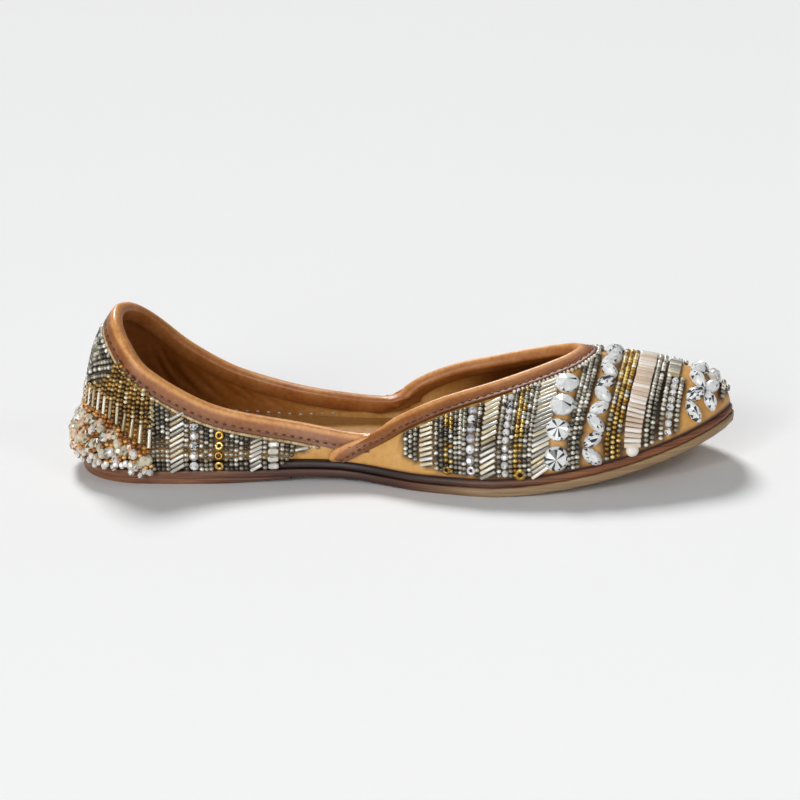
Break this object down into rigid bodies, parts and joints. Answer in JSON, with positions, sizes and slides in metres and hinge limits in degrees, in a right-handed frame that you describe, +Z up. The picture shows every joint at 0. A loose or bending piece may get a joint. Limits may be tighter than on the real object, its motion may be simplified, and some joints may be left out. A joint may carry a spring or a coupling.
{
  "type": "beaded leather mojari shoe",
  "caption": "Right flat slip-on shoe of leather with a low open quarter, a lapped vamp, folded bindings, bead-covered panels and a bead fringe round the heel.",
  "frame": {"origin": "middle of the bounding box at the level that the sole stands on", "axes": "+X from heel to toe, +Y towards the inner side of the foot, +Z up"},
  "size_m": [0.2534, 0.0838, 0.0617],
  "materials": {
    "sole_leather": "waxed bottom leather",
    "runner_leather": "dark dyed edge",
    "lining_leather": "smooth tan lining leather",
    "upper_leather": "natural tan, satin",
    "binding_leather": "polished folded strip",
    "quarter_beads": "seed beads and bugles, silver and gunmetal",
    "vamp_beads": "seed beads, bugles and set stones, champagne and silver",
    "fringe_beads": "gold seed beads, bugles and clear drops"
  },
  "bodies": {
    "root": {"heel_lift": "sole_leather", "outsole": "sole_leather", "midsole": "runner_leather", "insole": "lining_leather", "upper": "upper_leather", "quarter_binding": "binding_leather", "vamp_binding": "binding_leather", "quarter_beadwork": "quarter_beads", "vamp_beadwork": "vamp_beads", "heel_fringe": "fringe_beads"}
  },
  "joints": []
}
